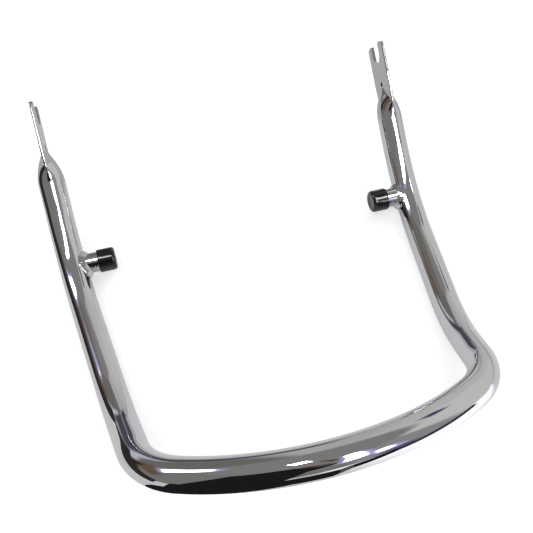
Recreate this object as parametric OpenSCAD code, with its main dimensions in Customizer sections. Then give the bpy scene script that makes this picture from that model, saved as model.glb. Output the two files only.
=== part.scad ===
// Seat grab rail for a classic motorbike: one bent, chromed tube that runs round the back of the
// seat, with its two ends pressed flat and slotted for the upper damper bolts, and a threaded boss
// welded to the inner side of each leg under a push-on protective cap.
//
// The frame: +X to the rider's right, +Y forward and level along the middle of the legs, +Z up.
// The origin is halfway between the two slot seats, on the line of the damper bolts.
// The left half mirrors the right one, so only the right one is worked out.

/* [Tube] */
// Outer diameter of the tube
tube_od = 19.05; // [17:0.05:22.2]
// Thickness of the tube's wall
tube_wall = 1.2; // [1:0.1:1.6]

/* [Rear bow] */
// Centreline radius of the bow that crosses behind the seat
bow_radius = 165.5; // [150:0.5:185]
// Turn of the bow on each side of its middle, in degrees
bow_half_turn = 31; // [27:0.5:34]
// Fall of the bow's plane towards the front, in degrees below level
bow_fall = 38; // [30:1:45]
// Centreline radius of the tight bends at the bow's corners
corner_radius = 47; // [40:0.5:60]

/* [Legs] */
// Outward lean of the falling run behind the middle of each leg, in degrees
kick_lean = 10.7; // [8:0.1:13]
// Fall of that run towards the front, in degrees below level
kick_fall = 30; // [24:1:36]
// Length of that run
kick_length = 18; // [10:0.5:30]
// Centreline radius of the bend that brings the leg level
kick_radius = 88.5; // [70:0.5:110]
// Outward lean of the level run, in degrees
level_lean = 7.6; // [5:0.1:10]
// Length of the level run
level_length = 54; // [40:0.5:80]
// Centreline radius of the bend that lifts the leg to its fork end
rise_radius = 118; // [100:0.5:140]
// Rise of the fork end above level, in degrees
fork_rise = 40; // [35:1:45]
// Length of the straight run that holds the fork end
fork_length = 75; // [68:0.5:90]

/* [Fork ends] */
// Length of the tube that is pressed flat
flat_length = 34; // [30:0.5:37]
// Length over which the round tube narrows to the flat
press_length = 27; // [22:0.5:30]
// Depth of the dimple that the press leaves at the foot of the flat
dimple_depth = 1.1; // [0:0.1:1.4]
// Distance of the dimple from the foot of the flat
dimple_place = 5; // [3:0.5:8]
// Width of the slot
slot_width = 13; // [10:0.5:14]
// Distance from the slot's seat to the end of the fork
seat_to_end = 8; // [6.5:0.5:11]
// Radius of the fork's outer corners
fork_corner = 4.5; // [2:0.5:6.5]

/* [Bosses] */
// Outer diameter of the boss
boss_od = 14.3; // [13:0.1:15.5]
// Distance from the tube's centreline to the end of the boss
boss_reach = 28.7; // [26:0.1:31]
// Place of the boss on the rising bend, in degrees from the bend's rear end
boss_place = 19; // [12:1:26]
// Core diameter of the threaded hole
thread_core = 6.8; // [5:0.1:8.5]
// Depth of the threaded hole
thread_depth = 15; // [10:0.5:17]
// Bevel round the end of the boss and the mouth of its hole
boss_bevel = 0.6; // [0.3:0.1:1]
// Size of the weld bead between boss and tube
weld_leg = 3.2; // [2:0.1:4]
// Height of the ripples along the weld bead
weld_ripple = 0.3; // [0:0.05:0.5]

/* [Caps] */
// Thickness of the cap's side wall
cap_wall = 1.25; // [0.8:0.05:2]
// Thickness of the cap's closed end
cap_end = 1.8; // [1:0.1:3]
// Overall length of the cap
cap_length = 12.5; // [9:0.5:14]
// Radius of the cap's end rim
cap_rim = 0.9; // [0.3:0.1:1.2]

/* [Hidden] */

round_facets = 64;
bend_facets = 180;
cut_margin = 1;
$fn = round_facets;
chrome = "#c9ccd1";
bead_metal = "#b4b6ba";
cap_black = "#1c1c1e";
tube_r = tube_od / 2;
bore_r = tube_r - tube_wall;
boss_r = boss_od / 2;
core_r = thread_core / 2;

// The bends are a hair slimmer than the straight runs, as drawn tube is, and reach a little into
// them, so that each bend ends inside its neighbour.
bend_draw = 0.02;
joint_lap = 0.5;

// Directions and turns
function heading(lean, rise) = [sin(lean) * cos(rise), cos(lean) * cos(rise), sin(rise)];
function unit(v) = v / norm(v);
function turn_between(from, to) = acos(from * to);
function turn_side(from, to) = unit(to - (from * to) * from);
function along_bend(start, from, to, radius, turn) =
    start + radius * ((1 - cos(turn)) * turn_side(from, to) + sin(turn) * from);
function bend_end(start, from, to, radius) =
    along_bend(start, from, to, radius, turn_between(from, to));

// Directions of the right half's runs, from the middle of the bow to the fork end
bow_middle_dir = [1, 0, 0];
bow_end_dir = [
    cos(bow_half_turn),
    sin(bow_half_turn) * cos(bow_fall),
    -sin(bow_half_turn) * sin(bow_fall),
];
kick_dir = heading(kick_lean, -kick_fall);
level_dir = heading(level_lean, 0);
fork_dir = heading(0, fork_rise);

// The same path measured from the middle of the bow, which gives the place of the origin
bow_end_0 = bend_end([0, 0, 0], bow_middle_dir, bow_end_dir, bow_radius);
kick_start_0 = bend_end(bow_end_0, bow_end_dir, kick_dir, corner_radius);
kick_end_0 = kick_start_0 + kick_length * kick_dir;
level_start_0 = bend_end(kick_end_0, kick_dir, level_dir, kick_radius);
level_end_0 = level_start_0 + level_length * level_dir;
fork_start_0 = bend_end(level_end_0, level_dir, fork_dir, rise_radius);
seat_0 = fork_start_0 + (fork_length - seat_to_end) * fork_dir;

// Path points in the part's frame
bow_middle = [0, -seat_0.y, -seat_0.z];
bow_end = bow_middle + bow_end_0;
kick_start = bow_middle + kick_start_0;
kick_end = bow_middle + kick_end_0;
level_start = bow_middle + level_start_0;
level_end = bow_middle + level_end_0;
fork_start = bow_middle + fork_start_0;
press_start = fork_start + (fork_length - flat_length - press_length) * fork_dir;
flat_start = fork_start + (fork_length - flat_length) * fork_dir;

// The pressed end: a ring of the tube keeps its length round the wall while it is flattened, so
// its section is a slot shape whose straight sides grow as its half thickness shrinks.
press_steps = 12;
ring_sides = 40;
shut_stage = 0.025;
shut_gap = 0.04;
dimple_spread = 0.9;
dimple_share = 0.8;
function half_thickness(u) = tube_wall + (tube_r - tube_wall) * sin(90 * u);
function straight_half(u) = PI * (tube_r - half_thickness(u)) / 2;
function dimple(u) =
    let (from_foot = u * press_length, spread = dimple_spread * dimple_place)
    dimple_depth * exp(-pow((from_foot - dimple_place) / spread, 2));
function pinch(u, across) =
    let (room = max(0, half_thickness(u) - tube_wall - shut_gap))
    min(dimple(u), dimple_share * room) * pow(max(0, cos(90 * across / tube_r)), 2);

// Point number i of the ring at u, in the plane across the run, with the wall drawn in by inset
function press_point(u, i, inset) =
    let (
        a = half_thickness(u) - inset,
        c = straight_half(u),
        girth = 2 * PI * a + 4 * c,
        at = girth * i / ring_sides,
        quarter = PI * a / 2,
        // Quadrants of the slot shape, from the middle of one flat side
        side = at < c ? [a, at] :
            at < c + 2 * quarter ?
                let (t = (at - c) / a * 180 / PI) [a * cos(t), c + a * sin(t)] :
            at < 3 * c + 2 * quarter ? [-a, 2 * c + 2 * quarter - at] :
            at < 3 * c + 4 * quarter ?
                let (t = (at - 3 * c - 2 * quarter) / a * 180 / PI) [-a * cos(t), -c - a * sin(t)] :
            [a, at - girth]
    )
    [side.x - sign(side.x) * pinch(u, side.y), side.y];

// Skin over rings that are given from the round end to the flat end, with a fan over each end
module ring_skin(rings, first_centre, last_centre) {
    count = len(rings);
    first = count * ring_sides;
    last = first + 1;
    top = (count - 1) * ring_sides;
    walls = [
        for (k = [0 : count - 2], i = [0 : ring_sides - 1])
            let (j = (i + 1) % ring_sides, low = k * ring_sides, high = low + ring_sides)
            each [[low + i, high + j, low + j], [low + i, high + i, high + j]],
    ];
    ends = [
        for (i = [0 : ring_sides - 1])
            let (j = (i + 1) % ring_sides)
            each [[first, i, j], [last, top + j, top + i]],
    ];
    points = concat([for (ring = rings) each ring], [first_centre, last_centre]);
    polyhedron(points, concat(walls, ends));
}

// Puts its children at a point of the path, with local Z along the run and local X sideways
module on_run(point, direction) {
    across = [1, 0, 0];
    z = direction;
    x = unit(across - (across * z) * z);
    y = cross(z, x);
    multmatrix([
        [x.x, y.x, z.x, point.x],
        [x.y, y.y, z.y, point.y],
        [x.z, y.z, z.z, point.z],
    ])
        children();
}

module run(start, direction, length, radius) {
    on_run(start, direction)
        cylinder(h = length, r = radius);
}

module bend(start, from, to, bend_radius, radius) {
    out = -turn_side(from, to);
    up = cross(out, from);
    centre = start - bend_radius * out;
    lap = joint_lap / bend_radius * 180 / PI;
    multmatrix([
        [out.x, from.x, up.x, centre.x],
        [out.y, from.y, up.y, centre.y],
        [out.z, from.z, up.z, centre.z],
    ])
        rotate([0, 0, -lap])
            rotate_extrude(angle = turn_between(from, to) + 2 * lap, $fn = bend_facets)
                translate([bend_radius, 0])
                    circle(radius, $fn = round_facets);
}

// The bow is one arc across the middle
module bow(radius) {
    out = -turn_side(bow_middle_dir, bow_end_dir);
    up = cross(out, bow_middle_dir);
    centre = bow_middle - bow_radius * out;
    multmatrix([
        [out.x, bow_middle_dir.x, up.x, centre.x],
        [out.y, bow_middle_dir.y, up.y, centre.y],
        [out.z, bow_middle_dir.z, up.z, centre.z],
    ])
        rotate([0, 0, -bow_half_turn])
            rotate_extrude(angle = 2 * bow_half_turn, $fn = bend_facets)
                translate([bow_radius, 0])
                    circle(radius, $fn = round_facets);
}

// The narrowing length of the fork end. A station is a stage of the press, from 1 where the tube is
// round to 0 where it is flat, and its distance behind the foot of the flat. The hollow ends where
// the walls are about to meet.
module pressed_length(inset) {
    slim = inset + bend_draw;
    narrowing = [for (k = [press_steps - 1 : -1 : 1]) k / press_steps];
    foot = inset > 0 ? [shut_stage, shut_stage * press_length] : [0, -joint_lap];
    stations = concat(
        [[1, press_length + joint_lap]],
        [for (stage = narrowing) [stage, stage * press_length]],
        [foot]
    );
    on_run(flat_start, fork_dir)
        ring_skin(
            [
                for (station = stations)
                    [for (i = [0 : ring_sides - 1])
                        let (p = press_point(station[0], i, slim)) [p.x, p.y, -station[1]]],
            ],
            [0, 0, -stations[0][1]],
            [0, 0, -stations[len(stations) - 1][1]]
        );
}

// The flat end: two walls pressed together, with round folds at both edges and round corners
module flat_end() {
    half_width = straight_half(0);
    fold_r = half_thickness(0);
    reach = half_width + fold_r;
    intersection() {
        on_run(flat_start, fork_dir)
            linear_extrude(flat_length)
                union() {
                    square([2 * fold_r, 2 * half_width], center = true);
                    for (side = [-1, 1])
                        translate([0, side * half_width])
                            circle(fold_r);
                }
        on_run(flat_start, fork_dir)
            rotate([0, -90, 0])
                translate([0, 0, -tube_od])
                    linear_extrude(2 * tube_od)
                        fork_outline(reach);
    }
}

module fork_outline(reach) {
    union() {
        translate([-cut_margin, -reach - cut_margin])
            square([flat_length - fork_corner + cut_margin, 2 * (reach + cut_margin)]);
        translate([0, -reach + fork_corner])
            square([flat_length, 2 * (reach - fork_corner)]);
        for (side = [-1, 1])
            translate([flat_length - fork_corner, side * (reach - fork_corner)])
                circle(fork_corner);
    }
}

// The open slot, cut across both walls
module slot_cut() {
    on_run(flat_start, fork_dir)
        translate([0, 0, flat_length - seat_to_end]) {
            rotate([0, 90, 0])
                cylinder(h = tube_od, d = slot_width, center = true);
            translate([-tube_od / 2, -slot_width / 2, 0])
                cube([tube_od, slot_width, seat_to_end + cut_margin]);
        }
}

// The right leg, solid: at tube radius it is the outside, and at bore radius it is the hollow
module leg(radius, inset) {
    slim = radius - bend_draw;
    bend(bow_end, bow_end_dir, kick_dir, corner_radius, slim);
    run(kick_start, kick_dir, kick_length, radius);
    bend(kick_end, kick_dir, level_dir, kick_radius, slim);
    run(level_start, level_dir, level_length, radius);
    bend(level_end, level_dir, fork_dir, rise_radius, slim);
    run(fork_start, fork_dir, fork_length - flat_length - press_length, radius);
    pressed_length(inset);
}

module rail_tube() {
    color(chrome)
        difference() {
            union() {
                bow(tube_r);
                both_sides() {
                    leg(tube_r, 0);
                    flat_end();
                }
            }
            union() {
                bow(bore_r);
                both_sides()
                    leg(bore_r, tube_wall);
            }
            both_sides()
                slot_cut();
        }
}

module both_sides() {
    children();
    mirror([1, 0, 0])
        children();
}

// The boss stands inward, square to the bolt line
boss_point = along_bend(level_end, level_dir, fork_dir, rise_radius, boss_place);
rise_out = -turn_side(level_dir, fork_dir);
rise_centre = level_end - rise_radius * rise_out;
rise_axis = cross(rise_out, level_dir);

// Puts its children at the boss, with local Z along its axis, away from the tube
module on_boss() {
    translate(boss_point)
        rotate([0, -90, 0])
            children();
}

module boss() {
    difference() {
        on_boss()
            difference() {
                rotate_extrude()
                    polygon([
                        [0, 0],
                        [boss_r, 0],
                        [boss_r, boss_reach - boss_bevel],
                        [boss_r - boss_bevel, boss_reach],
                        [0, boss_reach],
                    ]);
                translate([0, 0, boss_reach - thread_depth])
                    cylinder(h = thread_depth + cut_margin, r = core_r);
                translate([0, 0, boss_reach - boss_bevel])
                    cylinder(h = 2 * boss_bevel, r1 = core_r, r2 = core_r + 2 * boss_bevel);
            }
        bend(level_end, level_dir, fork_dir, rise_radius, tube_r - bend_draw);
    }
}

// Distance from the tube's centreline to its skin, inward along a line at a place beside the boss
search_steps = 22;
function off_centreline(point) =
    let (from_centre = point - rise_centre, aside = from_centre * rise_axis)
    norm([norm(from_centre - aside * rise_axis) - rise_radius, aside]);
function skin_height(place, low, high, steps) =
    let (middle = (low + high) / 2)
    steps == 0 ? middle :
    off_centreline(place - [middle, 0, 0]) < tube_r - bend_draw ?
        skin_height(place, middle, high, steps - 1) :
        skin_height(place, low, middle, steps - 1);
function skin_at(radius, turn) =
    skin_height(boss_point + radius * [0, cos(turn), sin(turn)], 0, tube_od, search_steps);

// The weld bead: a fillet that follows the saddle where the boss meets the tube, laid in ripples
bead_steps = 72;
bead_ripples = 18;
bead_face = 4;
bead_hollow = 1.7;
bead_sway = 0.5;
root_bite = 0.15;
function bead_leg(turn) =
    weld_leg + weld_ripple * (cos(bead_ripples * turn) - bead_sway * cos(2 * turn));
function bead_section(turn) =
    let (leg = bead_leg(turn), inner = boss_r - root_bite)
    concat(
        [[inner, skin_at(boss_r, turn) - root_bite]],
        [for (k = [0 : bead_face])
            let (
                t = 90 * k / bead_face,
                out = leg * pow(cos(t), bead_hollow),
                rise = leg * pow(sin(t), bead_hollow),
                skin = skin_at(boss_r + out, turn) - (k == 0 ? root_bite : 0)
            )
            [boss_r + out - (k == bead_face ? root_bite : 0), skin + rise]]
    );

module weld() {
    sides = bead_face + 2;
    sections = [for (s = [0 : bead_steps - 1]) bead_section(360 * s / bead_steps)];
    points = [
        for (s = [0 : bead_steps - 1], p = sections[s])
            boss_point + [-p[1], p[0] * cos(360 * s / bead_steps), p[0] * sin(360 * s / bead_steps)],
    ];
    faces = [
        for (s = [0 : bead_steps - 1], k = [0 : sides - 1])
            let (
                next = (s + 1) % bead_steps,
                up = (k + 1) % sides,
                a = s * sides + k,
                b = s * sides + up,
                c = next * sides + up,
                d = next * sides + k
            )
            each [[a, c, b], [a, d, c]],
    ];
    polyhedron(points, faces);
}

// The cap: a dipped cup that grips the boss
module cap() {
    outer = boss_r + cap_wall;
    on_boss()
        translate([0, 0, boss_reach + cap_end - cap_length])
            rotate_extrude()
                difference() {
                    union() {
                        square([outer, cap_length - cap_rim]);
                        square([outer - cap_rim, cap_length]);
                        translate([outer - cap_rim, cap_length - cap_rim])
                            circle(cap_rim);
                    }
                    translate([-cut_margin, -cut_margin])
                        square([boss_r + cut_margin, cap_length - cap_end + cut_margin]);
                    translate([-2 * outer, 0])
                        square([2 * outer, cap_length]);
                }
}

module boss_right() {
    color(chrome)
        boss();
}

module boss_left() {
    color(chrome)
        mirror([1, 0, 0])
            boss();
}

module weld_right() {
    color(bead_metal)
        weld();
}

module weld_left() {
    color(bead_metal)
        mirror([1, 0, 0])
            weld();
}

module cap_right() {
    color(cap_black)
        cap();
}

module cap_left() {
    color(cap_black)
        mirror([1, 0, 0])
            cap();
}

rail_tube();
boss_left();
boss_right();
weld_left();
weld_right();
cap_left();
cap_right();
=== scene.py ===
"""Dresses the seat grab rail: mirror chrome on a smooth swept tube, rippled weld beads, turned
bosses and dipped black caps, on a white floor in a plain grey studio, with soft lamp panels
and dark cards that show only in the chrome."""
import bmesh
import bpy
import math
from mathutils import Matrix, Vector, noise


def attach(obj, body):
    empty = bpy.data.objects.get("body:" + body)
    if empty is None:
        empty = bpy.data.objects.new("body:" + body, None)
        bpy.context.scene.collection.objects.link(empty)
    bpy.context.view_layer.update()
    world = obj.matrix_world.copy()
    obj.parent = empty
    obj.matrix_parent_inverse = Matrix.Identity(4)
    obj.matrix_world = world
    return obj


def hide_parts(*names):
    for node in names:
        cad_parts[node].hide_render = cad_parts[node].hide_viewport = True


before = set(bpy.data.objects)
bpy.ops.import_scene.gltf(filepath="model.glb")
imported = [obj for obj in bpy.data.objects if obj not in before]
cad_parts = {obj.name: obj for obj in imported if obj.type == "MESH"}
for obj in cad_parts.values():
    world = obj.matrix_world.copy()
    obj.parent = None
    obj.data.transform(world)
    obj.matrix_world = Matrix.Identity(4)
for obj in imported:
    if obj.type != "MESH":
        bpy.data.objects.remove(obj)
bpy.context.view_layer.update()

MM = 0.001
QUARTER_TURN = 0.5 * math.pi

# Driving dimensions of the rail, in millimetres and degrees, as in the part's source
TUBE_OD = 19.05
TUBE_WALL = 1.2
BOW_RADIUS = 165.5
BOW_HALF_TURN = 31
BOW_FALL = 38
CORNER_RADIUS = 47
KICK_LEAN = 10.7
KICK_FALL = 30
KICK_LENGTH = 18
KICK_RADIUS = 88.5
LEVEL_LEAN = 7.6
LEVEL_LENGTH = 54
RISE_RADIUS = 118
FORK_RISE = 40
FORK_LENGTH = 75
FLAT_LENGTH = 34
PRESS_LENGTH = 27
DIMPLE_PLACE = 5
SLOT_WIDTH = 13
SEAT_TO_END = 8
FORK_CORNER = 4.5
BOSS_OD = 14.3
BOSS_REACH = 28.7
BOSS_PLACE = 19
BOSS_BEVEL = 0.6
WELD_LEG = 3.2
CAP_WALL = 1.25
CAP_END = 1.8
CAP_LENGTH = 12.5

TUBE_R = TUBE_OD / 2
BORE_R = TUBE_R - TUBE_WALL
BOSS_R = BOSS_OD / 2

# What the press leaves, in millimetres: how much nearer the tip the flat starts than in the
# source, the ridge in the middle of the width, the broad dimple, and the sharp dent at its foot
PRESS_LEAD = 2.5
RIDGE_LENGTH = 22
RIDGE_POWER = 2.6
RIDGE_SHARPNESS = 1.6
RIDGE_LIMIT = 150
THINNEST_RIDGE = 0.1
DIMPLE_DEPTH = 0.3
DIMPLE_SPREAD = 4.5
DENT_DEPTH = 0.8
DENT_PLACE = -0.8
DENT_SPREAD = 1.7
DENT_WIDTH = 0.9

# The cut fork end, in millimetres: the groove where the walls meet, the broken edges, the
# corner arcs' distance outside the plate's edge, and how far the cut runs clear of the plate
SEAM_DEPTH = 0.35
SEAM_HALF_GAP = 0.07
EDGE_BREAK = 0.25
EDGE_SPARE = 0.02
CUT_MARGIN = 6
SHARP_ANGLE = 50

# The weld bead, in millimetres: its hidden root, its ripples and lumps, how its size wavers,
# and how it changes on the tube's far flank
BEAD_INSIDE = 0.5
BEAD_UNDER = 0.8
BEAD_CURVE = 1.6
RIPPLES = 34
RIPPLE_HEIGHT = 0.07
RIPPLE_DRIFT = 2.0
RIPPLE_BOW = 1.1
LUMP_HEIGHT = 0.10
LUMP_SCALE = 9
LUMP_CHANGE = 3.2
SWELL_SIZE = 0.4
SWELL_SCALE = 2.2
LEAN_SIZE = 0.3
LEAN_SCALE = 1.3
LEAN_SHIFT = Vector((0, 0, 7))
FLANK_FOOT = -0.72
FLANK_CLIMB = 0.12
FLANK_CALM = 0.5

# Where the boss starts over the tube's centreline, under its skin, in millimetres
BOSS_FOOT = 4.5
BOSS_FOOT_BEVEL = 0.3

# The dipped cap, in millimetres: its rounded rim and lip, the room left for its unevenness,
# and its sunk end as (distance from the axis, depth), from a small pip outward
CAP_RIM = 2.1
CAP_LIP = 0.42
CAP_LIP_DEPTH = 0.15
CAP_SIDE_ROOM = 0.1
CAP_END_ROOM = 0.06
CAP_SIDE_WOBBLE = 0.09
CAP_END_WOBBLE = 0.05
WOBBLE_ROUND = 1.6
WOBBLE_ALONG = 0.18
CAP_PIP = [(0, 0.10), (0.4, 0.12), (0.8, 0.24), (1.1, 0.36), (1.5, 0.38), (2.0, 0.32)]
CAP_DISH = 0.26
CAP_DISH_RISE = 0.5
CAP_DISH_SHARES = (0.3, 0.45, 0.6)

# Gap left between boss and cap, in millimetres
TOUCH_GAP = 0.02

# Fineness of the meshes: spacings in millimetres, and counts
RING_POINTS = 120
RING_SPACING = 1.4
PRESS_SPACING = 0.7
PLAIN_RINGS = 10
FLAT_RINGS = 8
OUTLINE_STEPS = 96
FOLD_STEPS = 24
TURNING_WEIGHT = 0.8
GIRTH_STEPS = 40
GIRTH_HALVINGS = 24
CORNER_STEPS = 24
EDGE_SEGMENTS = 3
SKIN_HALVINGS = 30
BEAD_POINTS = 420
BEAD_STEPS = 16
LATHE_POINTS = 96
BOSS_STEPS = 24
RIM_STEPS = 12
SIDE_STEPS = 8
LIP_STEPS = 5
GRIP_STEPS = 4


def heading(lean, rise):
    """Unit direction that leans outward from +Y and rises above level, in degrees."""
    a, e = math.radians(lean), math.radians(rise)
    return Vector((math.sin(a) * math.cos(e), math.cos(a) * math.cos(e), math.sin(e)))


def turn_side(start, end):
    """Sideways direction in which a bend turns."""
    return (end - start.dot(end) * start).normalized()


def spaced(start, end, steps):
    """Values at even steps from a start to an end, both included."""
    return [start + (end - start) * k / steps for k in range(steps + 1)]


def arc(centre, radius, start, end, steps):
    """Points of an arc in a plane, its ends given in degrees."""
    out = []
    for angle in spaced(start, end, steps):
        a = math.radians(angle)
        out.append((centre[0] + radius * math.cos(a), centre[1] + radius * math.sin(a)))
    return out


def halve(low, high, halvings, too_low):
    """The value between two bounds at which a test stops being true."""
    for _ in range(halvings):
        middle = (low + high) / 2
        if too_low(middle):
            low = middle
        else:
            high = middle
    return (low + high) / 2


BOW_DIR = Vector((1, 0, 0))
HALF = math.radians(BOW_HALF_TURN)
FALL = math.radians(BOW_FALL)
BOW_END_DIR = Vector((
    math.cos(HALF),
    math.sin(HALF) * math.cos(FALL),
    -math.sin(HALF) * math.sin(FALL),
))
KICK_DIR = heading(KICK_LEAN, -KICK_FALL)
LEVEL_DIR = heading(LEVEL_LEAN, 0)
FORK_DIR = heading(0, FORK_RISE)

# The right half of the path: bends as (from, to, radius) and straight runs as (direction, length)
PATH = [
    (BOW_DIR, BOW_END_DIR, BOW_RADIUS),
    (BOW_END_DIR, KICK_DIR, CORNER_RADIUS),
    (KICK_DIR, KICK_LENGTH),
    (KICK_DIR, LEVEL_DIR, KICK_RADIUS),
    (LEVEL_DIR, LEVEL_LENGTH),
    (LEVEL_DIR, FORK_DIR, RISE_RADIUS),
    (FORK_DIR, FORK_LENGTH),
]


def along_bend(start, begin, end, radius, turn):
    """Point of a bend after that turn, in radians."""
    side = turn_side(begin, end)
    return start + radius * ((1 - math.cos(turn)) * side + math.sin(turn) * begin)


def run_reaches(direction, length):
    """Distances of the rings along a straight run, closer together where the tube is pressed."""
    if direction != FORK_DIR:
        return spaced(0, length, max(2, round(length / RING_SPACING)))[1:]
    plain = length - FLAT_LENGTH - PRESS_LENGTH
    flat = length - FLAT_LENGTH
    reaches = spaced(0, plain, PLAIN_RINGS)[1:]
    reaches += spaced(plain, flat, round(PRESS_LENGTH / PRESS_SPACING))[1:]
    reaches += spaced(flat, flat + FLAT_RINGS * PRESS_SPACING, FLAT_RINGS)[1:]
    reaches += [length - FLAT_LENGTH / 2, length]
    return reaches


def trace_path():
    """Stations (point, direction, distance) of the right half's centreline, and its run ends."""
    point = Vector((0, 0, 0))
    travelled = 0.0
    stations = [(point.copy(), BOW_DIR.copy(), 0.0)]
    ends = [point.copy()]
    for piece in PATH:
        if len(piece) == 3:
            begin, end, radius = piece
            turn = math.acos(begin.dot(end))
            steps = max(2, round(radius * turn / RING_SPACING))
            side = turn_side(begin, end)
            for a in spaced(0, turn, steps)[1:]:
                place = along_bend(point, begin, end, radius, a)
                direction = math.cos(a) * begin + math.sin(a) * side
                stations.append((place, direction, travelled + radius * a))
            point = along_bend(point, begin, end, radius, turn)
            travelled += radius * turn
        else:
            direction, length = piece
            for reach in run_reaches(direction, length):
                stations.append((point + reach * direction, direction.copy(), travelled + reach))
            point = point + length * direction
            travelled += length
        ends.append(point.copy())
    seat = point - SEAT_TO_END * FORK_DIR
    shift = Vector((0, -seat.y, -seat.z))
    stations = [(p + shift, d.normalized(), s) for p, d, s in stations]
    return stations, [p + shift for p in ends]


STATIONS, RUN_ENDS = trace_path()
LEVEL_END, FORK_START = RUN_ENDS[-3:-1]
HALF_LENGTH = STATIONS[-1][2]
FLAT_START = FORK_START + (FORK_LENGTH - FLAT_LENGTH) * FORK_DIR
BOSS_POINT = along_bend(LEVEL_END, LEVEL_DIR, FORK_DIR, RISE_RADIUS, math.radians(BOSS_PLACE))


def press_stage(from_flat):
    """Half thickness of the hollow at that distance behind the flat: the bore, down to 0."""
    share = max(0.0, min(1.0, from_flat / PRESS_LENGTH))
    return BORE_R * math.sin(QUARTER_TURN * share)


def press_power(from_flat):
    """How much the hollow gathers in the middle of the width: 1 is an ellipse, more is a ridge."""
    share = max(0.0, min(1.0, from_flat / RIDGE_LENGTH))
    broad = 1 + (RIDGE_POWER - 1) * (1 - share * share * (3 - 2 * share))
    thick = max(THINNEST_RIDGE, press_stage(from_flat))
    sharp = 1 + RIDGE_SHARPNESS * ((BORE_R / thick) ** 2 - 1)
    return min(RIDGE_LIMIT, max(broad, sharp))


def hollow_quarter(thick, wide, power, steps):
    """A quarter of the hollow's outline: half thickness across, half width along."""
    return [
        (thick * max(0.0, math.cos(a)) ** power, wide * math.sin(a))
        for a in spaced(0, QUARTER_TURN, steps)
    ]


def hollow_width(thick, power):
    """Half width at which the hollow keeps the girth of the bore."""
    def too_narrow(wide):
        points = hollow_quarter(thick, wide, power, GIRTH_STEPS)
        girth = sum(math.dist(p, q) for p, q in zip(points, points[1:]))
        return girth < QUARTER_TURN * BORE_R
    return halve(0.5 * BORE_R, 2 * BORE_R, GIRTH_HALVINGS, too_narrow)


def pressed_skin(thick, power):
    """(across, along, facing) over a quarter of the pressed tube, round the fold at its edge."""
    wide = hollow_width(thick, power)
    hollow = []
    turns = spaced(0, QUARTER_TURN, OUTLINE_STEPS)
    for a, (across, along) in zip(turns, hollow_quarter(thick, wide, power, OUTLINE_STEPS)):
        drop = power * thick * max(0.0, math.cos(a)) ** (power - 1) * math.sin(a)
        facing = math.atan2(drop, wide * max(1e-9, math.cos(a)))
        hollow.append((across, along, facing))
    facing = hollow[-2][2]
    fold = [(0.0, wide, a) for a in spaced(facing, QUARTER_TURN, FOLD_STEPS)]
    return [
        (x + TUBE_WALL * math.cos(a), y + TUBE_WALL * math.sin(a), a)
        for x, y, a in hollow[:-1] + fold
    ]


def spread_points(outline, count):
    """Points along an outline, spread by its length and by its turning alike."""
    measure = [0.0]
    for p, q in zip(outline, outline[1:]):
        length = math.dist(p[:2], q[:2]) / TUBE_R
        measure.append(measure[-1] + length + TURNING_WEIGHT * abs(q[2] - p[2]))
    out = []
    k = 0
    for wanted in spaced(0, measure[-1], count):
        while k < len(measure) - 2 and measure[k + 1] < wanted:
            k += 1
        gap = measure[k + 1] - measure[k]
        t = (wanted - measure[k]) / gap if gap > 0 else 0.0
        p, q = outline[k], outline[k + 1]
        out.append((p[0] + t * (q[0] - p[0]), p[1] + t * (q[1] - p[1])))
    return out


def section_quarter(from_flat):
    """A quarter of the tube's outline: round, or pressed without a change of girth."""
    count = RING_POINTS // 4
    if from_flat >= PRESS_LENGTH:
        return [
            (TUBE_R * math.cos(a), TUBE_R * math.sin(a))
            for a in spaced(0, QUARTER_TURN, count)
        ]
    return spread_points(pressed_skin(press_stage(from_flat), press_power(from_flat)), count)


def dent_depth(from_flat, along):
    """Depth of the press's broad dimple and of the sharp dent at the foot of the flat."""
    broad = DIMPLE_DEPTH * math.exp(-(((from_flat - DIMPLE_PLACE) / DIMPLE_SPREAD) ** 2))
    broad = min(broad, 0.5 * press_stage(from_flat))
    broad *= max(0.0, math.cos(QUARTER_TURN * along / TUBE_R)) ** 2
    aside = along / DENT_WIDTH
    behind = (from_flat - DENT_PLACE) / DENT_SPREAD
    sharp = DENT_DEPTH * math.exp(-(aside ** 2) - behind ** 2)
    return broad + sharp


def section_ring(from_flat):
    """The whole outline, from the middle of the inner side round to it again."""
    quarter = section_quarter(from_flat)
    ring = quarter[:-1]
    ring += [(-x, y) for x, y in reversed(quarter[1:])]
    ring += [(-x, -y) for x, y in quarter[:-1]]
    ring += [(x, -y) for x, y in reversed(quarter[1:])]
    if abs(from_flat) > PRESS_LENGTH:
        return ring
    return [(x - math.copysign(dent_depth(from_flat, y), x), y) for x, y in ring]


def frames_along(stations):
    """Side vectors carried along the path without twist, then eased round to suit the fork."""
    side = Vector((0, 0, 1))
    sides = [side.copy()]
    for before, after in zip(stations, stations[1:]):
        side = before[1].rotation_difference(after[1]) @ side
        side = (side - side.dot(after[1]) * after[1]).normalized()
        sides.append(side.copy())
    last = stations[-1][1]
    wanted = Vector((1, 0, 0))
    twist = math.atan2(last.dot(sides[-1].cross(wanted)), sides[-1].dot(wanted))
    full_twist_at = HALF_LENGTH - FLAT_LENGTH - PRESS_LENGTH
    out = []
    for (_, direction, distance), side in zip(stations, sides):
        part = min(1.0, distance / full_twist_at)
        out.append(Matrix.Rotation(twist * part, 3, direction) @ side)
    return out


def plain_object(name, bm):
    """Turns a bmesh in metres into an object."""
    mesh = bpy.data.meshes.new(name)
    bm.to_mesh(mesh)
    bm.free()
    obj = bpy.data.objects.new(name, mesh)
    bpy.context.scene.collection.objects.link(obj)
    return obj


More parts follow.
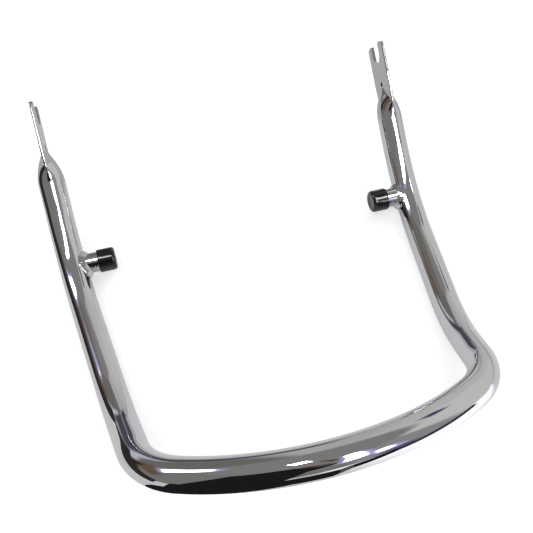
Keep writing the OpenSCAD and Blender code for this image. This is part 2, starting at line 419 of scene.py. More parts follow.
def new_object(name, bm, material, node):
    """Turns a bmesh in millimetres into a smooth object that stands for a CAD node."""
    bmesh.ops.recalc_face_normals(bm, faces=bm.faces)
    bmesh.ops.scale(bm, vec=(MM, MM, MM), verts=bm.verts)
    obj = plain_object(name, bm)
    obj.data.shade_smooth()
    obj.data.materials.append(material)
    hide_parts(node)
    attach(obj, "root")
    return obj


def skin_rings(bm, rings, closed_path=False):
    """Quads between rings of vertices."""
    count = len(rings)
    last = count if closed_path else count - 1
    for r in range(last):
        low, high = rings[r], rings[(r + 1) % count]
        for i in range(len(low)):
            j = (i + 1) % len(low)
            bm.faces.new((low[i], low[j], high[j], high[i]))


def swept_tube():
    """The whole tube from the left fork's end to the right one's, still without slots."""
    bm = bmesh.new()
    right = []
    for (point, direction, distance), side in zip(STATIONS, frames_along(STATIONS)):
        other = direction.cross(side)
        outline = section_ring(HALF_LENGTH - FLAT_LENGTH + PRESS_LEAD - distance)
        right.append([point + across * side + along * other for across, along in outline])
    rings = [[Vector((-p.x, p.y, p.z)) for p in ring] for ring in reversed(right[1:])]
    rings += right
    made = [[bm.verts.new(p) for p in ring] for ring in rings]
    skin_rings(bm, made)
    bm.faces.new(made[0])
    bm.faces.new(made[-1])
    return bm


def fork_waste(inset):
    """Outline of what is cut away round the fork's end: its round corners and its open slot.

    Given along the fork and across it, from the start of the flat. A positive inset cuts deeper."""
    edge = math.pi * BORE_R / 2 + TUBE_WALL + EDGE_SPARE
    bend = FLAT_LENGTH - FORK_CORNER
    end = FLAT_LENGTH - inset
    half_slot = SLOT_WIDTH / 2 + inset
    beyond, aside = FLAT_LENGTH + CUT_MARGIN, edge + CUT_MARGIN
    radius = FORK_CORNER - inset
    points = [(bend, aside)]
    points += arc((bend, edge - FORK_CORNER), radius, 90, 0, CORNER_STEPS)
    points += [(end, half_slot)]
    points += arc((FLAT_LENGTH - SEAT_TO_END, 0), half_slot, 90, 270, 2 * CORNER_STEPS)
    points += [(end, -half_slot)]
    points += arc((bend, FORK_CORNER - edge), radius, 0, -90, CORNER_STEPS)
    points += [(bend, -aside), (beyond, -aside), (beyond, aside)]
    return points


def waste_cutter(name, inset, half_depth):
    """Prisms of the waste at both fork ends, that deep on each side of the plates' middle."""
    bm = bmesh.new()
    across = FORK_DIR.cross(Vector((1, 0, 0)))
    for mirror in (1, -1):
        rows = []
        for depth in (-half_depth, half_depth):
            row = []
            for along, out in fork_waste(inset):
                p = FLAT_START + along * FORK_DIR + out * across + Vector((depth, 0, 0))
                row.append(bm.verts.new((mirror * p.x * MM, p.y * MM, p.z * MM)))
            rows.append(row)
        skin_rings(bm, rows)
        bm.faces.new(rows[0])
        bm.faces.new(rows[1])
    bmesh.ops.recalc_face_normals(bm, faces=bm.faces)
    return plain_object(name, bm)


def cut_away(obj, cutter):
    """Adds the modifier that takes a cutter's volume away."""
    cut = obj.modifiers.new(cutter.name, "BOOLEAN")
    cut.operation = "DIFFERENCE"
    cut.solver = "EXACT"
    cut.object = cutter


def apply_modifiers(obj):
    """Bakes the modifiers of a piece into its mesh."""
    graph = bpy.context.evaluated_depsgraph_get()
    mesh = bpy.data.meshes.new_from_object(obj.evaluated_get(graph), depsgraph=graph)
    obj.modifiers.clear()
    obj.data = mesh


def make_rail(material):
    """The tube with its fork ends cut to shape, their edges broken and the seam grooved."""
    rail = new_object("rail_tube_smooth", swept_tube(), material, "rail_tube")
    waste = waste_cutter("fork_cutter", 0, TUBE_R)
    seam = waste_cutter("seam_cutter", SEAM_DEPTH, SEAM_HALF_GAP)
    cut_away(rail, waste)
    edge = rail.modifiers.new("edge_break", "BEVEL")
    edge.width = EDGE_BREAK * MM
    edge.segments = EDGE_SEGMENTS
    edge.limit_method = "ANGLE"
    edge.angle_limit = math.radians(SHARP_ANGLE)
    cut_away(rail, seam)
    apply_modifiers(rail)
    for cutter in (waste, seam):
        bpy.data.objects.remove(cutter)
    rail.data.shade_smooth()
    rail.data.set_sharp_from_angle(angle=math.radians(SHARP_ANGLE))
    even = rail.modifiers.new("even_normals", "WEIGHTED_NORMAL")
    even.mode = "FACE_AREA"
    even.keep_sharp = True


# The rising bend, for the height of the tube's skin beside the boss
RISE_SIDE = turn_side(LEVEL_DIR, FORK_DIR)
RISE_CENTRE = LEVEL_END + RISE_RADIUS * RISE_SIDE
RISE_AXIS = RISE_SIDE.cross(LEVEL_DIR)

# How much lower the skin is at the boss's flank than on the tube's crown
FLANK_DROP = TUBE_R - math.sqrt(TUBE_R ** 2 - BOSS_R ** 2)


def skin_height(across_y, across_z):
    """Distance inward from the centreline's X to the tube's skin, at a place beside the boss."""
    def under_skin(height):
        point = BOSS_POINT + Vector((-height, across_y, across_z)) - RISE_CENTRE
        aside = point.dot(RISE_AXIS)
        radial = (point - aside * RISE_AXIS).length - RISE_RADIUS
        return math.hypot(radial, aside) < TUBE_R
    return halve(0.0, TUBE_OD, SKIN_HALVINGS, under_skin)


def beside_boss(mirror, height, out, turn):
    """Point at that height over the tube's centreline and that distance from the boss's axis."""
    return (
        mirror * (BOSS_POINT.x - height),
        BOSS_POINT.y + out * math.cos(turn),
        BOSS_POINT.z + out * math.sin(turn),
    )


def bead_surface(turn, k, seed):
    """(distance from the boss's axis, height over the centreline) of the bead's face.

    The steps run from the foot on the tube up to the edge on the boss."""
    around = Vector((math.cos(turn), math.sin(turn), seed))
    swell = noise.noise(SWELL_SCALE * around)
    lean = noise.noise(LEAN_SCALE * around + LEAN_SHIFT)
    t = QUARTER_TURN * k / BEAD_STEPS
    wave = math.sin(0.5 * (RIPPLES * turn + RIPPLE_DRIFT * swell + RIPPLE_BOW * math.sin(t)))
    spot = Vector((LUMP_SCALE * around.x, LUMP_SCALE * around.y, seed + LUMP_CHANGE * t))
    lumps = LUMP_HEIGHT * noise.noise(spot)
    ripple = (RIPPLE_HEIGHT * (1 - abs(wave)) + lumps) * math.sin(2 * t)
    root = skin_height(BOSS_R * math.cos(turn), BOSS_R * math.sin(turn))
    flank = (TUBE_R - root) / FLANK_DROP
    size = WELD_LEG + SWELL_SIZE * swell
    foot = size * (1 + FLANK_FOOT * flank) + LEAN_SIZE * lean * (1 - flank)
    climb = size * (1 + FLANK_CLIMB * flank) - LEAN_SIZE * lean
    out = BOSS_R + foot * math.cos(t) ** BEAD_CURVE + ripple * (1 - FLANK_CALM * flank)
    rise = climb * math.sin(t) ** BEAD_CURVE + ripple
    return out, skin_height(out * math.cos(turn), out * math.sin(turn)) + rise


def make_weld(name, node, mirror, material, seed):
    """A bead laid in ripples along the saddle between boss and tube."""
    bm = bmesh.new()
    rings = []
    for turn in spaced(0, 2 * math.pi, BEAD_POINTS)[:-1]:
        root = skin_height(BOSS_R * math.cos(turn), BOSS_R * math.sin(turn))
        face = [bead_surface(turn, k, seed) for k in range(BEAD_STEPS + 1)]
        section = [(BOSS_R - BEAD_INSIDE, root - BEAD_UNDER)]
        section += [(face[0][0], face[0][1] - BEAD_UNDER)]
        section += face
        section += [(BOSS_R - BEAD_INSIDE, face[-1][1])]
        rings.append([
            bm.verts.new(beside_boss(mirror, height, out, turn))
            for out, height in section
        ])
    skin_rings(bm, rings, closed_path=True)
    new_object(name, bm, material, node)


def lathe(profile, mirror, shape=None):
    """Turns (distance from the boss's axis, distance from the tube's centreline) points round."""
    bm = bmesh.new()
    rings = []
    for radius, reach in profile:
        if radius < 1e-6:
            rings.append([bm.verts.new(beside_boss(mirror, reach, 0, 0))])
            continue
        ring = []
        for turn in spaced(0, 2 * math.pi, LATHE_POINTS)[:-1]:
            r, h = shape(radius, reach, turn) if shape else (radius, reach)
            ring.append(bm.verts.new(beside_boss(mirror, h, r, turn)))
        rings.append(ring)
    for low, high in zip(rings, rings[1:]):
        for i in range(LATHE_POINTS):
            j = (i + 1) % LATHE_POINTS
            if len(low) == 1:
                bm.faces.new((low[0], high[j], high[i]))
            elif len(high) == 1:
                bm.faces.new((low[i], low[j], high[0]))
            else:
                bm.faces.new((low[i], low[j], high[j], high[i]))
    return bm


def make_boss(name, node, mirror, material):
    """The turned boss, from under the tube's skin to its end inside the cap."""
    side = spaced(BOSS_FOOT + BOSS_FOOT_BEVEL, BOSS_REACH - BOSS_BEVEL, BOSS_STEPS)
    end = BOSS_REACH - TOUCH_GAP
    profile = [(0, BOSS_FOOT), (BOSS_R - BOSS_FOOT_BEVEL, BOSS_FOOT)]
    profile += [(BOSS_R, reach) for reach in side]
    profile += [(BOSS_R - BOSS_BEVEL, end), (0, end)]
    new_object(name, lathe(profile, mirror), material, node)


def cap_shape(seed):
    """Slight unevenness of a dipped cap's side and rim: inside the boss's radius it is plain."""
    def shape(radius, reach, turn):
        if radius <= BOSS_R + 2 * TOUCH_GAP:
            return radius, reach
        wobble = noise.noise(Vector((
            WOBBLE_ROUND * math.cos(turn),
            WOBBLE_ROUND * math.sin(turn),
            WOBBLE_ALONG * reach + seed,
        )))
        return radius + CAP_SIDE_WOBBLE * wobble, reach + CAP_END_WOBBLE * wobble
    return shape


def make_cap(name, node, mirror, material, seed):
    """The push-on cap: a dipped cup with a rounded rim, a softly sunk end and a rolled lip."""
    outer = BOSS_R + CAP_WALL - CAP_SIDE_ROOM
    top = BOSS_REACH + CAP_END - CAP_END_ROOM
    foot = BOSS_REACH + CAP_END - CAP_LENGTH + CAP_END_ROOM
    profile = [(radius, top - depth) for radius, depth in CAP_PIP]
    profile += [(outer * f, top - CAP_DISH + CAP_DISH_RISE * f * f) for f in CAP_DISH_SHARES]
    profile += arc((outer - CAP_RIM, top - CAP_RIM), CAP_RIM, 90, 0, RIM_STEPS)
    side = spaced(top - CAP_RIM, foot + CAP_LIP, SIDE_STEPS)[1:-1]
    profile += [(outer, reach) for reach in side]
    profile += arc((outer - CAP_LIP, foot + CAP_LIP), CAP_LIP, 0, -90, LIP_STEPS)
    profile += [(BOSS_R + TOUCH_GAP, foot + CAP_LIP_DEPTH)]
    grip = spaced(foot, BOSS_REACH, GRIP_STEPS)[1:]
    profile += [(BOSS_R + TOUCH_GAP / 2, reach) for reach in grip]
    profile += [(0, BOSS_REACH)]
    bm = lathe(profile, mirror, cap_shape(seed))
    new_object(name, bm, material, node)


class Nodes:
    """Short helper for building a node tree."""

    def __init__(self, tree):
        self.tree = tree
        tree.nodes.clear()

    def add(self, kind, inputs=None, **settings):
        """A new node with its settings and inputs."""
        node = self.tree.nodes.new(kind)
        for key, value in settings.items():
            setattr(node, key, value)
        for key, value in (inputs or {}).items():
            self.put(node.inputs[key], value)
        return node

    def put(self, socket, value):
        """Links another node's socket to an input, or sets a constant on it."""
        if isinstance(value, bpy.types.NodeSocket):
            self.tree.links.new(value, socket)
        else:
            socket.default_value = value

    def end(self, shader, kind="ShaderNodeOutputMaterial"):
        """Joins a shader to the tree's output."""
        out = self.add(kind)
        self.put(out.inputs["Surface"], shader.outputs[0])

    def choose(self, factor, off, on):
        """One shader where the factor is 0, the other where it is 1."""
        both = self.add("ShaderNodeMixShader", {0: factor})
        self.put(both.inputs[1], off.outputs[0])
        self.put(both.inputs[2], on.outputs[0])
        return both

    def math(self, operation, a, b=0.0, clamp=False):
        """The result of a math node."""
        node = self.add("ShaderNodeMath", operation=operation, use_clamp=clamp)
        self.put(node.inputs[0], a)
        self.put(node.inputs[1], b)
        return node.outputs[0]

    def product(self, first, *others):
        """Factors multiplied together."""
        for factor in others:
            first = self.math("MULTIPLY", first, factor)
        return first

    def smooth(self, value, low, high):
        """0 at low, 1 at high, eased between."""
        node = self.add("ShaderNodeMapRange", interpolation_type="SMOOTHSTEP")
        self.put(node.inputs["Value"], value)
        node.inputs["From Min"].default_value = low
        node.inputs["From Max"].default_value = high
        return node.outputs["Result"]

    def ramp(self, value, span, result):
        """Carries a value's span over to the result's span, straight between."""
        node = self.add("ShaderNodeMapRange")
        self.put(node.inputs["Value"], value)
        node.inputs["From Min"].default_value = span[0]
        node.inputs["From Max"].default_value = span[1]
        node.inputs["To Min"].default_value = result[0]
        node.inputs["To Max"].default_value = result[1]
        return node.outputs["Result"]

    def mix(self, factor, a, b):
        """One colour where the factor is 0, the other where it is 1."""
        node = self.add("ShaderNodeMix", data_type="RGBA")
        self.put(node.inputs["Factor"], factor)
        self.put(node.inputs["A"], a)
        self.put(node.inputs["B"], b)
        return node.outputs["Result"]

    def noise(self, coords, scale, detail=2.0, roughness=0.5):
        """A noise pattern, from 0 to 1."""
        node = self.add("ShaderNodeTexNoise")
        self.put(node.inputs["Vector"], coords)
        node.inputs["Scale"].default_value = scale
        node.inputs["Detail"].default_value = detail
        node.inputs["Roughness"].default_value = roughness
        return node.outputs["Fac"]

    def bump(self, height):
        """Normals over a height in millimetres."""
        node = self.add("ShaderNodeBump", {"Height": height, "Strength": 1.0, "Distance": MM})
        return node.outputs["Normal"]


def new_material(name):
    """A material with an empty node tree, and the helper to fill it."""
    material = bpy.data.materials.new(name)
    material.use_nodes = True
    return material, Nodes(material.node_tree)


# Plating: its tints and the haze over its polish
CHROME = (0.61, 0.61, 0.62, 1)
CHROME_COOL = (0.58, 0.585, 0.605, 1)
HAZE_DEPTH = 0.035

# The pinch that the press leaves, in millimetres: a spot, and a fold that runs from it, dented by
# bump and darkened with painted shade
PINCH_PAINTED_SHADE = (0.02, 0.016, 0.02, 1)
PINCH_DEPTH = 0.35
PINCH_PLACE = PRESS_LEAD + 0.8
PINCH_HALF_LENGTH = 1.8
PINCH_HALF_WIDTH = 1.5
PINCH_EDGE = (1.8, 0.4)
FOLD_SIDE = 0.6
FOLD_EDGE = (0.9, 0.3)
FOLD_START = (-8, -5)
FOLD_END = (-1.5, -2.5)
FOLD_SHARE = 0.45
FORKS_BEYOND = 120


def pinch_dent_and_painted_shade(n, coords):
    """How much of the press's small pinch, a dent darkened with painted shade, lies at a place: the
    same on both forks.
    """
    split = n.add("ShaderNodeSeparateXYZ")
    n.put(split.inputs[0], coords)
    x, y, z = (n.product(socket, 1 / MM) for socket in split.outputs)
    place = FLAT_START + PINCH_PLACE * FORK_DIR
    along = n.math("ADD", n.product(y, FORK_DIR.y), n.product(z, FORK_DIR.z))
    along = n.math("SUBTRACT", along, place.y * FORK_DIR.y + place.z * FORK_DIR.z)
    across = n.math("SUBTRACT", n.product(z, FORK_DIR.y), n.product(y, FORK_DIR.z))
    across = n.math("SUBTRACT", across, place.z * FORK_DIR.y - place.y * FORK_DIR.z)
    u = n.math("DIVIDE", along, PINCH_HALF_LENGTH)
    v = n.math("DIVIDE", across, PINCH_HALF_WIDTH)
    spot = n.smooth(n.math("ADD", n.product(u, u), n.product(v, v)), *PINCH_EDGE)
    beside = n.math("ABSOLUTE", n.math("ADD", across, FOLD_SIDE))
    fold = n.product(
        n.smooth(beside, *FOLD_EDGE),
        n.smooth(along, *FOLD_START),
        n.smooth(along, *FOLD_END),
        FOLD_SHARE,
    )
    on_fork = n.math("GREATER_THAN", n.math("ABSOLUTE", x), FORKS_BEYOND)
    return n.product(on_fork, n.math("MAXIMUM", spot, fold))


def chrome_material(name, wave, grain, roughness, pinched=False):
    """Mirror plating: a faint waviness from polishing, fine haze and a cool tint; pinched, it also
    gets the press's dent with painted shade.
    """
    material, n = new_material(name)
    coords = n.add("ShaderNodeTexCoord").outputs["Object"]
    broad = n.noise(coords, scale=70, detail=2.0)
    fine = n.noise(coords, scale=900, detail=3.0)
    veil = n.noise(coords, scale=240, detail=4.0, roughness=0.6)
    haze = n.ramp(veil, span=(0.35, 0.75), result=(roughness, roughness + HAZE_DEPTH))
    tint = n.mix(n.ramp(broad, span=(0.3, 0.7), result=(0, 1)), CHROME, CHROME_COOL)
    height = n.math("ADD", n.product(broad, wave), n.product(fine, grain))
    if pinched:
        mark = pinch_dent_and_painted_shade(n, coords)
        # Painted shade: the pinch's base colour is darkened, besides the dent in its height
        tint = n.mix(mark, tint, PINCH_PAINTED_SHADE)
        height = n.math("SUBTRACT", height, n.product(mark, PINCH_DEPTH))
    n.end(n.add("ShaderNodeBsdfPrincipled", {
        "Base Color": tint,
        "Metallic": 1.0,
        "Roughness": haze,
        "Normal": n.bump(height),
    }))
    return material


# The caps' vinyl: its tones, the heights of its grain and dips, and its roughness
VINYL = (0.003, 0.003, 0.0035, 1)
VINYL_WORN = (0.009, 0.009, 0.010, 1)
VINYL_GRAIN = 0.012
VINYL_DIPS = 0.05
VINYL_ROUGHNESS = (0.06, 0.15)


def cap_material():
    """Black vinyl: glossy, a little uneven, with duller patches from handling."""
    material, n = new_material("cap_vinyl")
    coords = n.add("ShaderNodeTexCoord").outputs["Object"]
    patches = n.noise(coords, scale=160, detail=3.0)
    grain = n.noise(coords, scale=2600, detail=2.0)
    dips = n.noise(coords, scale=330, detail=2.0)
    height = n.math("ADD", n.product(grain, VINYL_GRAIN), n.product(dips, VINYL_DIPS))
    n.end(n.add("ShaderNodeBsdfPrincipled", {
        "Base Color": n.mix(patches, VINYL, VINYL_WORN),
        "Roughness": n.ramp(patches, span=(0.35, 0.7), result=VINYL_ROUGHNESS),
        "Normal": n.bump(height),
    }))
    return material


# The floor sheet, in metres, with its tones. Light of its own lifts it to white for the camera,
# more so far away, where the lamps don't reach. The chrome sees it darker in front of the fork
# ends, a painted shade, and brighter in a patch behind the right corner, a painted pool of light.
FLOOR_Z = (LEVEL_END.z - TUBE_R) * MM
FLOOR_REACH = 6.0
FLOOR_TONE = (0.70, 0.70, 0.71, 1)
FLOOR_PAINTED_SHADE_FRONT = (0.47, 0.47, 0.48, 1)
PAINTED_SHADE_FRONT_Y = (0.0, 0.05)
CAMERA_LIFT = 0.50
FAR_LIFT = 0.5
FAR_SQUARED = (0.15, 1.0)
CHROME_LIFT = 0.12
PAINTED_LIGHT_LIFT = 0.8
PAINTED_LIGHT_X = (-0.02, 0.10)
PAINTED_LIGHT_Y = (-0.27, -0.31)


def make_floor():
    """A white sheet on a table, whose tone and lift depend on what looks at it."""
    bm = bmesh.new()
    for x, y in ((-1, -1), (1, -1), (1, 1), (-1, 1)):
        bm.verts.new((x * FLOOR_REACH, y * FLOOR_REACH, FLOOR_Z))
    bm.faces.new(bm.verts)
    floor = plain_object("floor_sheet", bm)
    material, n = new_material("floor_white")
    path = n.add("ShaderNodeLightPath")
    by_camera, by_chrome = path.outputs["Is Camera Ray"], path.outputs["Is Glossy Ray"]
    place = n.add("ShaderNodeSeparateXYZ")
    n.put(place.inputs[0], n.add("ShaderNodeNewGeometry").outputs["Position"])
    x, y = place.outputs["X"], place.outputs["Y"]
    # Painted light: a pool of light on the floor behind the right corner, seen only in the chrome
    bright = n.product(n.smooth(x, *PAINTED_LIGHT_X), n.smooth(y, *PAINTED_LIGHT_Y), PAINTED_LIGHT_LIFT)
    mirrored = n.math("ADD", by_chrome, path.outputs["Is Transmission Ray"], clamp=True)
    mirrored = n.product(mirrored, n.math("ADD", bright, CHROME_LIFT))
    away = n.math("ADD", n.math("POWER", x, 2), n.math("POWER", y, 2))
    seen = n.math("ADD", n.product(n.smooth(away, *FAR_SQUARED), FAR_LIFT), CAMERA_LIFT)
    lift = n.math("ADD", n.product(by_camera, seen), mirrored)
    # Painted shade: the floor as the chrome sees it is darker in front of the fork ends
    painted_shade_front = n.product(n.smooth(y, *PAINTED_SHADE_FRONT_Y), by_chrome)
    tone = n.mix(painted_shade_front, FLOOR_TONE, FLOOR_PAINTED_SHADE_FRONT)
    diffuse = n.add("ShaderNodeBsdfDiffuse", {"Color": tone})
    glow = n.add("ShaderNodeEmission", {"Color": (1, 1, 1, 1), "Strength": lift})
    total = n.add("ShaderNodeAddShader")
    n.put(total.inputs[0], diffuse.outputs[0])
    n.put(total.inputs[1], glow.outputs[0])
    n.end(total)
    floor.data.materials.append(material)


# What stands round the table, as the chrome mirrors it: azimuths from +Y towards +X and heights
# above level, in degrees. The wall comes first, from the left round to the right, as
# (from this azimuth on, softness, colour), with the ceiling above it.
WALL_START = (0.27, 0.265, 0.245, 1)
WALL = [
    (-47, 6, (0.215, 0.21, 0.195, 1)),
    (1, 5, (0.60, 0.59, 0.58, 1)),
    (24, 8, (0.70, 0.685, 0.66, 1)),
    (46, 8, (0.80, 0.785, 0.75, 1)),
    (118, 6, (0.37, 0.37, 0.37, 1)),
    (168, 3, (0.27, 0.265, 0.25, 1)),
]
CEILING = (0.31, 0.305, 0.29, 1)
CEILING_EDGE = (48, 58)

# Then what is on the wall, dull things first and lamps with a lavender rim after them, as
# (azimuths, heights, softness, slant of the sides, colour)
LAVENDER = (0.62, 0.58, 1.0, 1)
LAMP_WHITE = (16, 16, 16, 1)
THINGS = [
    ((-90, -44), (15, 31), 4, 0, (0.19, 0.125, 0.08, 1)),
    ((-72, -52), (2, 13), 4, 0, (0.03, 0.025, 0.02, 1)),
    ((-61, -53), (-20, 20), 2.5, 0, (0.018, 0.015, 0.012, 1)),
    ((-46, -14), (9, 17), 3, 0, (0.72, 0.71, 0.80, 1)),
    ((-26, 12), (-2, 11), 3, 0, (0.10, 0.09, 0.12, 1)),
    ((50, 70), (39, 47), 2.5, 0, (0.075, 0.10, 0.18, 1)),
    ((141, 156), (-2, 14), 4, 0, (0.15, 0.15, 0.22, 1)),
    ((-76, -50), (34, 60), 3, 0.3, LAVENDER),
    ((-71, -56), (38, 56), 2.5, 0.3, LAMP_WHITE),
    ((142, 157), (14, 34), 3, 0, LAVENDER),
    ((147, 154), (22, 32), 2, 0, LAMP_WHITE),
    ((149, 168), (24, 62), 3, -0.3, LAVENDER),
    ((154, 164), (29, 60), 2, -0.3, LAMP_WHITE),
]

# The strength of the room's light on all that isn't a mirror
EVEN_LIGHT = 0.6


def make_world():
    """A plain grey room for the chrome to mirror, white where the camera looks past the floor."""
    world = bpy.data.worlds.new("studio")
    bpy.context.scene.world = world
    world.use_nodes = True
    n = Nodes(world.node_tree)
    direction = n.add("ShaderNodeSeparateXYZ")
    n.put(direction.inputs[0], n.add("ShaderNodeTexCoord").outputs["Generated"])
    x, y, z = direction.outputs
    azimuth = n.product(n.math("ARCTAN2", x, y), 180 / math.pi)
    rise = n.product(n.math("ARCSINE", z), 180 / math.pi)
    colour = WALL_START
    for start, soft, tone in WALL:
        colour = n.mix(n.smooth(azimuth, start - soft, start + soft), colour, tone)
    colour = n.mix(n.smooth(rise, *CEILING_EDGE), colour, CEILING)
    for (left, right), (low, high), soft, slant, tone in THINGS:
        side = azimuth
        if slant:
            lean = n.product(n.math("SUBTRACT", rise, (low + high) / 2), slant)
            side = n.math("SUBTRACT", azimuth, lean)
        mask = n.product(
            n.smooth(side, left - soft, left + soft),
            n.smooth(side, right + soft, right - soft),
            n.smooth(rise, low - soft, low + soft),
            n.smooth(rise, high + soft, high - soft),
        )
        colour = n.mix(mask, colour, tone)
    room = n.add("ShaderNodeBackground", {"Color": colour, "Strength": 1.0})
    even = n.add("ShaderNodeBackground", {"Color": (1, 1, 1, 1), "Strength": EVEN_LIGHT})
    white = n.add("ShaderNodeBackground", {"Color": (1, 1, 1, 1), "Strength": 1.0})
    path = n.add("ShaderNodeLightPath")
    first = n.math("LESS_THAN", path.outputs["Diffuse Depth"], 0.5)
    mirrored = n.product(path.outputs["Is Glossy Ray"], first)
    by_camera, through = path.outputs["Is Camera Ray"], path.outputs["Is Transmission Ray"]
    straight = n.math("ADD", by_camera, through, clamp=True)
    n.end(n.choose(straight, n.choose(mirrored, even, room), white), "ShaderNodeOutputWorld")


# Two large soft lamps overhead, in metres and watts: (name, place, size, power)
LAMPS = [
    ("key", (-0.7, -0.9, 1.5), 1.2, 11.0),
    ("fill", (0.9, 0.4, 1.6), 1.5, 9.0),
]
LAMP_TARGET = Vector((0, -0.14, -0.05))


def make_lights():
    """The lamps, which the chrome doesn't mirror."""
    for name, place, size, power in LAMPS:
        data = bpy.data.lights.new(name, "AREA")
        data.size = size
        data.energy = power
        lamp = bpy.data.objects.new(name, data)
        bpy.context.scene.collection.objects.link(lamp)
        lamp.location = place
        lamp.rotation_mode = "QUATERNION"
        lamp.rotation_quaternion = (LAMP_TARGET - Vector(place)).to_track_quat("-Z", "Y")
        lamp.visible_glossy = False


# Dark and brown cards out of the picture, in metres: upright ones behind the camera, as
# (name, Y, colour, corners in X and height), one that lies on the floor as painted shade, a
# dark sheet under the crossbar where the floor is in the rail's shade, and low fences, as
# (name, start, end, height at the start, height at the end, colour)
BLACK = (0.016, 0.016, 0.018, 1)
BACK_FLAGS = [
    ("flag_back", -0.60, BLACK, [
        (-0.50, 0), (-0.10, 0), (-0.05, 0.20), (0.035, 0.26), (0.035, 0.295), (-0.015, 0.33),
        (-0.073, 0.43), (-0.12, 0.54), (-0.21, 0.60), (-0.30, 0.62), (-0.50, 0.66),
    ]),
    ("flag_brown", -0.59, (0.14, 0.07, 0.08, 1), [
        (0.035, 0.44), (0.072, 0.50), (0.055, 0.60), (0.02, 0.80), (-0.008, 0.80), (0.0, 0.64),
        (0.02, 0.58),
    ]),
    ("flag_rust", -0.59, (0.16, 0.055, 0.035, 1), [
        (-0.085, 0.455), (-0.045, 0.375), (0.02, 0.31), (0.03, 0.33), (-0.03, 0.42),
        (-0.08, 0.50),
    ]),
]
# Painted shade: a dark sheet, seen only in the chrome, that stands for the floor's shade under the
# crossbar
FLOOR_SHADE_CARD = [
    (-0.20, -0.347), (-0.030, -0.338), (-0.055, -0.300), (-0.080, -0.262), (-0.115, -0.262),
    (-0.17, -0.30),
]
FLOOR_SHADE_CARD_HEIGHT = 0.001
FENCES = [
    ("flag_near", (-0.20, -0.347), (0.0, -0.335), 0.06, 0.06, BLACK),
    ("flag_turn", (0.0, -0.335), (0.03, -0.42), 0.06, 0.06, (0.13, 0.12, 0.11, 1)),
    ("flag_right", (0.03, -0.42), (0.16, -0.53), 0.06, 0.075, BLACK),
    ("flag_far", (0.16, -0.53), (0.36, -0.40), 0.075, 0.06, (0.05, 0.045, 0.06, 1)),
    ("flag_left", (-0.29, -0.34), (-0.29, 0.05), 0.06, 0.10, (0.04, 0.038, 0.034, 1)),
]


def make_flag(name, outline, colour, one_sided=False):
    """A card that shows only in the chrome, its corners given as (x, y, height) in metres."""
    bm = bmesh.new()
    bm.faces.new([bm.verts.new((x, y, FLOOR_Z + height)) for x, y, height in outline])
    flag = plain_object(name, bm)
    material, n = new_material(name + "_card")
    shade = n.add("ShaderNodeEmission", {"Color": colour, "Strength": 1.0})
    if one_sided:
        back = n.add("ShaderNodeNewGeometry").outputs["Backfacing"]
        shade = n.choose(back, shade, n.add("ShaderNodeBsdfTransparent"))
    n.end(shade)
    flag.data.materials.append(material)
    flag.visible_camera = False
    flag.visible_diffuse = False
    flag.visible_shadow = False


def make_flags():
    """All the dark and brown cards."""
    for name, y, colour, outline in BACK_FLAGS:
        make_flag(name, [(x, y, height) for x, height in outline], colour)
    make_flag("flag_foot_shade", [(x, y, FLOOR_SHADE_CARD_HEIGHT) for x, y in FLOOR_SHADE_CARD], BLACK)
    for name, start, end, start_height, end_height, colour in FENCES:
        top = [end + (end_height,), start + (start_height,)]
        make_flag(name, [start + (0,), end + (0,)] + top, colour)


# Lamp panels that hang close over the rail, as its streaks show them: a point of each panel's
# plane (x, y and height), its rise along X and along Y, and its corners, in millimetres. Each
# has a lavender rim, grown from the panel and hung a little above it.
GLOWS = [
    ("glow_left", (-150, -115, 197.6), (-0.833, 0.833), [
        (-98, -112), (-97, -126), (-112, -134), (-130, -133), (-138, -122), (-160, -116),
        (-225, -105), (-250, -100), (-245, -94), (-150, -95), (-118, -101),
    ]),
    ("glow_right", (190, -160, 240.6), (1.0, 0.91), [
        (76, -92), (105, -115), (125, -138), (145, -158), (152, -182), (165, -195), (238, -199),
        (262, -190), (251, -168), (226, -150), (178, -127), (150, -115), (91, -92),
    ]),
    ("glow_side", (380, -75, 354.6), (0.91, 0.91), [
        (350, -98), (415, -108), (425, -62), (362, -50),
    ]),
    ("glow_bar", (-45, -316, 240.6), (0, -1.043), [
        (-58, -303), (-28, -298), (-22, -333), (-54, -338),
    ]),
]
RIM_GROWTH = 1.22
RIM_RISE = 2.0


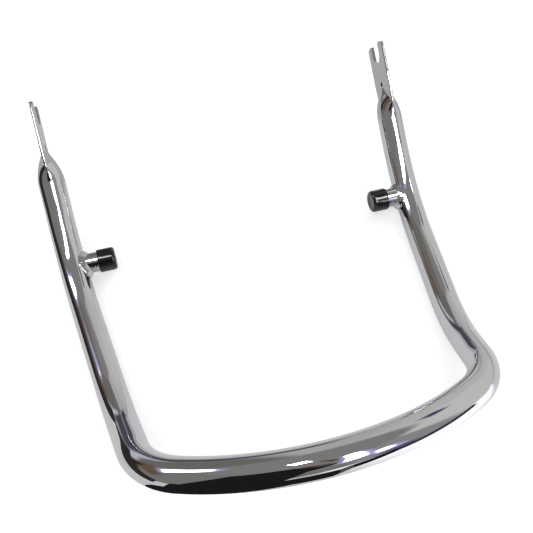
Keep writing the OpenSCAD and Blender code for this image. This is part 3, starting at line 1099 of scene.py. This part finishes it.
def make_glow(name, point, slope, outline):
    """A white lamp panel with a lavender rim, bright on its lower face only."""
    x0, y0, height0 = point
    along_x, along_y = slope
    # A positive sum is an outline that runs so that its face looks up
    turn = sum(p[0] * q[1] - q[0] * p[1] for p, q in zip(outline, outline[1:] + outline[:1]))
    if turn > 0:
        outline = outline[::-1]
    mid_x = sum(p[0] for p in outline) / len(outline)
    mid_y = sum(p[1] for p in outline) / len(outline)
    for part, grow, rise, colour in (
        ("", 1.0, 0.0, LAMP_WHITE),
        ("_rim", RIM_GROWTH, RIM_RISE, LAVENDER),
    ):
        corners = []
        for x, y in outline:
            gx, gy = mid_x + grow * (x - mid_x), mid_y + grow * (y - mid_y)
            height = height0 + along_x * (gx - x0) + along_y * (gy - y0) + rise
            corners.append((gx * MM, gy * MM, height * MM))
        make_flag(name + part, corners, colour, one_sided=True)


# The camera fitted to the photograph: its place in millimetres, the directions of the picture's
# right and top, its lens and sensor in millimetres, and its near limit in metres
CAMERA_PLACE = Vector((-72.84, -389.19, 300.74))
CAMERA_RIGHT = Vector((0.96079, -0.27727, 0.00308))
CAMERA_UP = Vector((0.22045, 0.77052, 0.59808))
CAMERA_LENS = 43.155
CAMERA_SENSOR = 36
CAMERA_NEAR = 0.01


def make_camera():
    """The photograph's viewpoint: above and behind the crossbar, a little to the left."""
    data = bpy.data.cameras.new("camera")
    data.sensor_width = CAMERA_SENSOR
    data.lens = CAMERA_LENS
    data.clip_start = CAMERA_NEAR
    camera = bpy.data.objects.new("camera", data)
    bpy.context.scene.collection.objects.link(camera)
    back = CAMERA_RIGHT.cross(CAMERA_UP)
    camera.location = CAMERA_PLACE * MM
    camera.rotation_mode = "QUATERNION"
    turn = Matrix((CAMERA_RIGHT, CAMERA_UP, back)).transposed()
    camera.rotation_quaternion = turn.to_quaternion()
    bpy.context.scene.camera = camera


bpy.context.scene.view_settings.view_transform = "Standard"
make_camera()
rail_chrome = chrome_material(
    "rail_plating", wave=0.004, grain=0.0002, roughness=0.015, pinched=True)
boss_chrome = chrome_material("boss_plating", wave=0.004, grain=0.0006, roughness=0.05)
weld_chrome = chrome_material("weld_plating", wave=0.10, grain=0.01, roughness=0.06)
vinyl = cap_material()
make_rail(rail_chrome)
for side, mirror, seed in (("right", 1, 3.0), ("left", -1, 11.0)):
    make_boss("boss_" + side + "_turned", "boss_" + side, mirror, boss_chrome)
    make_weld("weld_" + side + "_bead", "weld_" + side, mirror, weld_chrome, seed)
    make_cap("cap_" + side + "_dipped", "cap_" + side, mirror, vinyl, seed)
make_floor()
make_world()
make_lights()
make_flags()
for name, point, slope, outline in GLOWS:
    make_glow(name, point, slope, outline)
